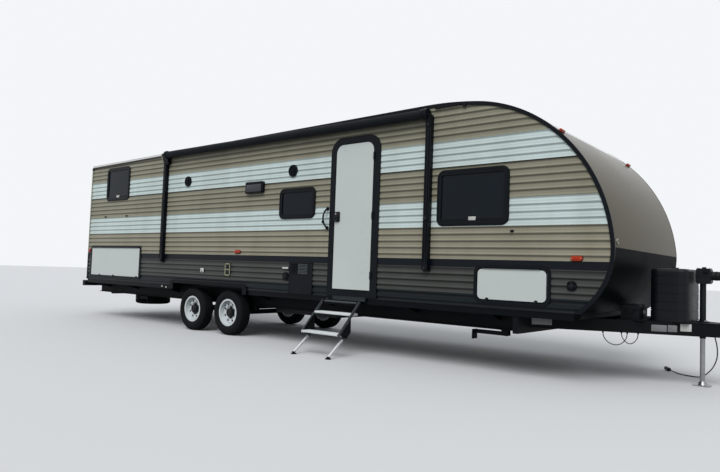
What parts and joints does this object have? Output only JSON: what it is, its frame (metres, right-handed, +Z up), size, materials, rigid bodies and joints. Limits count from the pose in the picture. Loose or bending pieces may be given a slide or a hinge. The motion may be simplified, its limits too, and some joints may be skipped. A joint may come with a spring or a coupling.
{
  "type": "travel caravan",
  "caption": "Long two-axle towed caravan with corrugated banded sides, curved glossy front, entry door and fold-up steps, parked on its tongue jack.",
  "frame": {"origin": "centre of the underside of the tongue jack's foot, on the ground, on the caravan's centreline", "axes": "+X forward to the coupler, +Z up, door side at -Y"},
  "size_m": [11.24, 3.059, 3.2919],
  "materials": {
    "chassis_paint": "satin black chassis paint",
    "coupler_paint": "satin black paint, worn at the socket",
    "jack_steel": "black powder coat",
    "jack_leg_steel": "zinc-plated tube",
    "cover_plastic": "moulded black plastic",
    "tyre_rubber": "black tyre rubber",
    "rim_paint": "white painted steel",
    "floor_wood": "floor decking",
    "wall_panel": "framed wall panel",
    "siding_metal": "corrugated painted sheet in tan, white and charcoal bands",
    "front_bronze": "gloss bronze panel",
    "front_black": "gloss black panel",
    "roof_sheet": "white roofing membrane",
    "trim_black": "black trim",
    "dark_glass": "dark tinted glass",
    "door_white": "white smooth sheet",
    "awning_cloth": "rolled black awning vinyl",
    "cooler_plastic": "white moulded shroud",
    "step_paint": "dark grey powder coat",
    "tread_metal": "ribbed aluminium treads",
    "stabiliser_paint": "black paint",
    "lamp_lens": "amber and red lenses",
    "fitting_plastic": "moulded plastic",
    "tank_plastic": "black moulded tank",
    "cable_rubber": "black cable jacket"
  },
  "bodies": {
    "caravan": {"chassis_rails": "chassis_paint", "chassis_crossmembers": "chassis_paint", "tongue_frame": "chassis_paint", "coupler": "coupler_paint", "jack_body": "jack_steel", "gas_bottle_cover": "cover_plastic", "battery_box": "cover_plastic", "axles": "chassis_paint", "leaf_springs": "chassis_paint", "spare_wheel": "tyre_rubber", "floor": "floor_wood", "wall_door_side": "wall_panel", "wall_off_side": "wall_panel", "siding_door_side": "siding_metal", "siding_off_side": "siding_metal", "rear_wall": "siding_metal", "front_panel_upper": "front_bronze", "front_panel_lower": "front_black", "roof": "roof_sheet", "edge_mouldings": "trim_black", "skirt_rails": "chassis_paint", "window_frames": "trim_black", "window_glass": "dark_glass", "entry_door_frame": "trim_black", "baggage_frames": "trim_black", "awning_roller": "awning_cloth", "awning_arms": "trim_black", "air_conditioner": "cooler_plastic", "stabiliser_brackets": "chassis_paint", "lamps": "lamp_lens", "side_fittings": "fitting_plastic", "grab_handle": "trim_black", "holding_tank": "tank_plastic", "plug_cable": "cable_rubber", "cable_plug": "cable_rubber", "brake_cable_loop_1": "cable_rubber", "brake_cable_loop_2": "cable_rubber"},
    "wheel_rear_door_side": {"tyre_rear_door_side": "tyre_rubber", "rim_rear_door_side": "rim_paint"},
    "wheel_rear_off_side": {"tyre_rear_off_side": "tyre_rubber", "rim_rear_off_side": "rim_paint"},
    "wheel_front_door_side": {"tyre_front_door_side": "tyre_rubber", "rim_front_door_side": "rim_paint"},
    "wheel_front_off_side": {"tyre_front_off_side": "tyre_rubber", "rim_front_off_side": "rim_paint"},
    "entry_door": {"entry_door": "door_white"},
    "baggage_door_rear": {"baggage_door_rear": "door_white"},
    "baggage_door_front": {"baggage_door_front": "door_white"},
    "baggage_door_off_side": {"baggage_door_off_side": "door_white"},
    "steps": {"step_frame": "step_paint", "step_treads": "tread_metal"},
    "jack_leg": {"jack_leg": "jack_leg_steel"},
    "stabiliser_leg_rear_door_side": {"stabiliser_leg_rear_door_side": "stabiliser_paint"},
    "stabiliser_leg_rear_off_side": {"stabiliser_leg_rear_off_side": "stabiliser_paint"},
    "stabiliser_leg_front_door_side": {"stabiliser_leg_front_door_side": "stabiliser_paint"},
    "stabiliser_leg_front_off_side": {"stabiliser_leg_front_off_side": "stabiliser_paint"},
    "vent_lid_rear": {"vent_lid_rear": "cooler_plastic"},
    "vent_lid_front": {"vent_lid_front": "cooler_plastic"}
  },
  "joints": [
    {"name": "wheel_rear_door_side_spin", "type": "hinge", "parent": "caravan", "child": "wheel_rear_door_side", "pos_m": [-7.15, -1.0775, 0.344], "axis": [0, 1, 0], "continuous": true},
    {"name": "wheel_rear_off_side_spin", "type": "hinge", "parent": "caravan", "child": "wheel_rear_off_side", "pos_m": [-7.15, 1.0775, 0.344], "axis": [0, 1, 0], "continuous": true},
    {"name": "wheel_front_door_side_spin", "type": "hinge", "parent": "caravan", "child": "wheel_front_door_side", "pos_m": [-6.25, -1.0775, 0.344], "axis": [0, 1, 0], "continuous": true},
    {"name": "wheel_front_off_side_spin", "type": "hinge", "parent": "caravan", "child": "wheel_front_off_side", "pos_m": [-6.25, 1.0775, 0.344], "axis": [0, 1, 0], "continuous": true},
    {"name": "entry_door_swing", "type": "hinge", "parent": "caravan", "child": "entry_door", "pos_m": [-3.425, -1.2373, 1.75], "axis": [0, 0, 1], "range_deg": [0, 170]},
    {"name": "baggage_door_rear_lift", "type": "hinge", "parent": "caravan", "child": "baggage_door_rear", "pos_m": [-9.532, -1.2373, 1.331], "axis": [-1, 0, 0], "range_deg": [0, 170]},
    {"name": "baggage_door_front_lift", "type": "hinge", "parent": "caravan", "child": "baggage_door_front", "pos_m": [-1.5675, -1.2373, 1.145], "axis": [-1, 0, 0], "range_deg": [0, 170]},
    {"name": "baggage_door_off_side_lift", "type": "hinge", "parent": "caravan", "child": "baggage_door_off_side", "pos_m": [-1.5675, 1.2373, 1.145], "axis": [1, 0, 0], "range_deg": [0, 170]},
    {"name": "steps_fold", "type": "hinge", "parent": "caravan", "child": "steps", "pos_m": [-3.8815, -1.262, 0.65], "axis": [-1, 0, 0], "range_deg": [0, 128]},
    {"name": "jack_leg_slide", "type": "slide", "parent": "caravan", "child": "jack_leg", "axis": [0, 0, 1], "range_m": [0, 0.4]},
    {"name": "stabiliser_rear_door_side_swing", "type": "hinge", "parent": "caravan", "child": "stabiliser_leg_rear_door_side", "pos_m": [-9.3, -0.83, 0.413], "axis": [0, 1, 0], "range_deg": [0, 90]},
    {"name": "stabiliser_rear_off_side_swing", "type": "hinge", "parent": "caravan", "child": "stabiliser_leg_rear_off_side", "pos_m": [-9.3, 0.83, 0.413], "axis": [0, 1, 0], "range_deg": [0, 90]},
    {"name": "stabiliser_front_door_side_swing", "type": "hinge", "parent": "caravan", "child": "stabiliser_leg_front_door_side", "pos_m": [-1.8, -0.83, 0.413], "axis": [0, -1, 0], "range_deg": [0, 90]},
    {"name": "stabiliser_front_off_side_swing", "type": "hinge", "parent": "caravan", "child": "stabiliser_leg_front_off_side", "pos_m": [-1.8, 0.83, 0.413], "axis": [0, -1, 0], "range_deg": [0, 90]},
    {"name": "vent_lid_rear_lift", "type": "hinge", "parent": "caravan", "child": "vent_lid_rear", "pos_m": [-8.465, 0, 3.0141], "axis": [0, -1, 0], "range_deg": [0, 70]},
    {"name": "vent_lid_front_lift", "type": "hinge", "parent": "caravan", "child": "vent_lid_front", "pos_m": [-4.465, 0, 3.06158], "axis": [0, -1, 0], "range_deg": [0, 70]}
  ]
}
